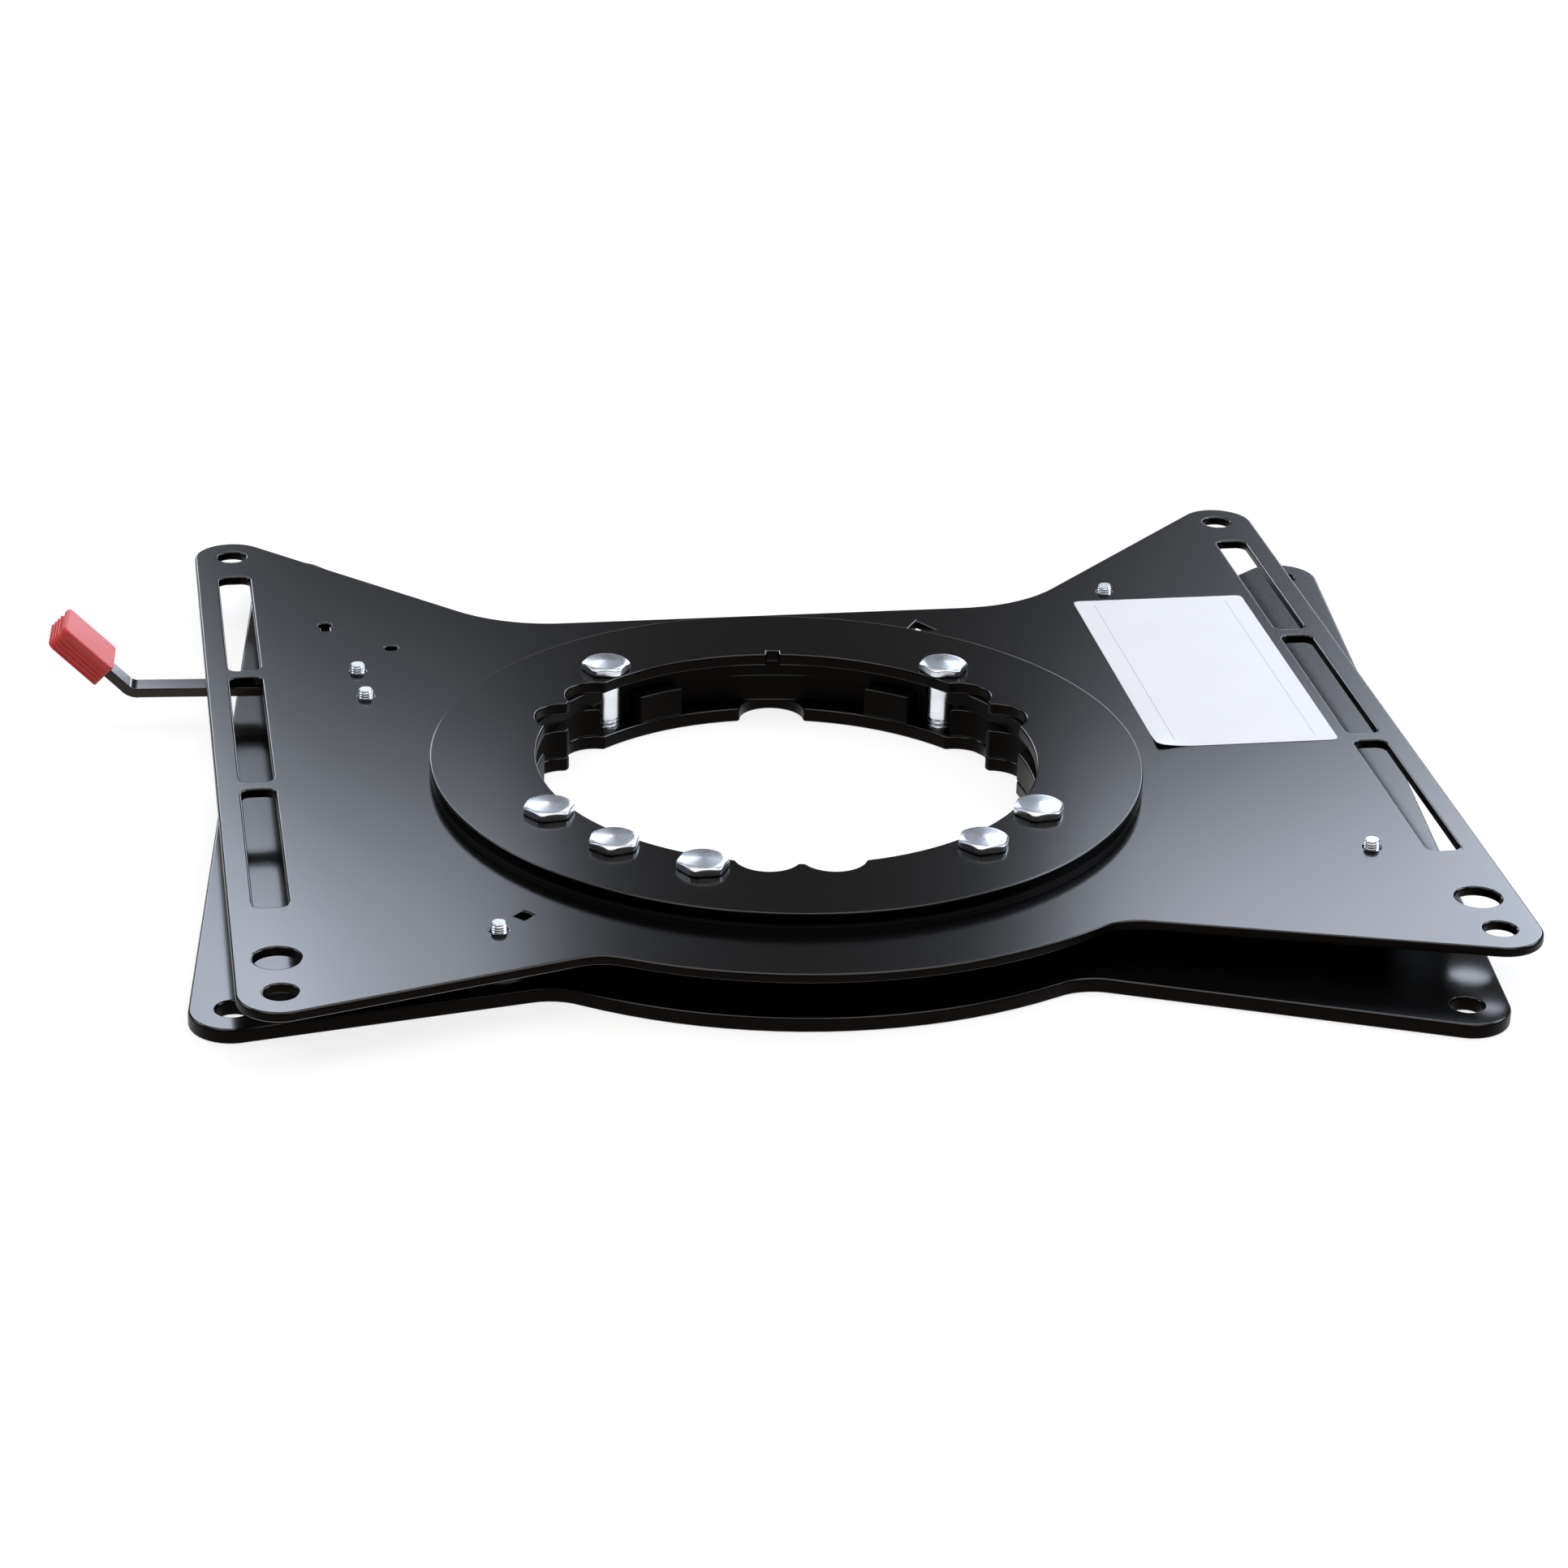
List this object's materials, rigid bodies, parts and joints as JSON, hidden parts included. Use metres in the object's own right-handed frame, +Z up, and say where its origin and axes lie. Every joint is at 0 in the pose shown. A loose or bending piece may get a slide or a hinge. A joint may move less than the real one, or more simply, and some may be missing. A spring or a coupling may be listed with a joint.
{
  "type": "swivel seat base",
  "caption": "Flat X-shaped seat swivel: two steel plates turning on a clamped ring bearing with an open centre, locked by a flat lever with a ribbed red grip.",
  "frame": {"origin": "on the swivel axis at the underside of the bottom plate", "axes": "+Z up along the swivel axis, +X to the right across the bottom plate, +Y to the back; the bottom plate is square to the axes and the top plate is turned 6 degrees anticlockwise seen from above"},
  "size_m": [0.5666, 0.4863, 0.049],
  "materials": {
    "black_powder_coat": "satin, fine orange peel",
    "bright_zinc": "bright zinc plate",
    "grey_glide_plastic": "matt",
    "black_plastic": "matt",
    "red_grip_plastic": "satin moulded",
    "white_label": "semi-matt film",
    "spring_steel": "drawn wire"
  },
  "bodies": {
    "base": {"bottom_plate": "black_powder_coat", "lock_ring": "black_powder_coat", "lower_glide_ring": "grey_glide_plastic", "hub_ring": "black_powder_coat", "upper_glide_ring": "grey_glide_plastic", "clamp_ring": "black_powder_coat", "ring_bolt_1": "bright_zinc", "ring_bolt_2": "bright_zinc", "ring_bolt_3": "bright_zinc", "ring_bolt_4": "bright_zinc", "ring_bolt_5": "bright_zinc", "ring_bolt_6": "bright_zinc", "ring_bolt_7": "bright_zinc"},
    "turntable": {"top_plate": "black_powder_coat", "lever_pivot_bolt": "bright_zinc", "spring_post": "bright_zinc", "skid_pad_1": "black_plastic", "skid_pad_2": "black_plastic", "skid_pad_3": "black_plastic", "skid_screw_1": "bright_zinc", "skid_screw_2": "bright_zinc", "skid_screw_3": "bright_zinc", "blank_label": "white_label", "lever_spring": "spring_steel"},
    "locking_lever": {"lever": "black_powder_coat", "lever_grip": "red_grip_plastic", "lever_spring_pin": "bright_zinc"}
  },
  "joints": [
    {"name": "seat_swivel", "type": "hinge", "parent": "base", "child": "turntable", "pos_m": [0, 0, 0.0216], "axis": [0, 0, 1], "continuous": true},
    {"name": "lever_pull", "type": "hinge", "parent": "turntable", "child": "locking_lever", "pos_m": [-0.17143, 0.0956, 0.017], "axis": [0, 0, 1], "range_deg": [-3.35, 2.5], "stiffness_Nm_per_rad": 6}
  ]
}
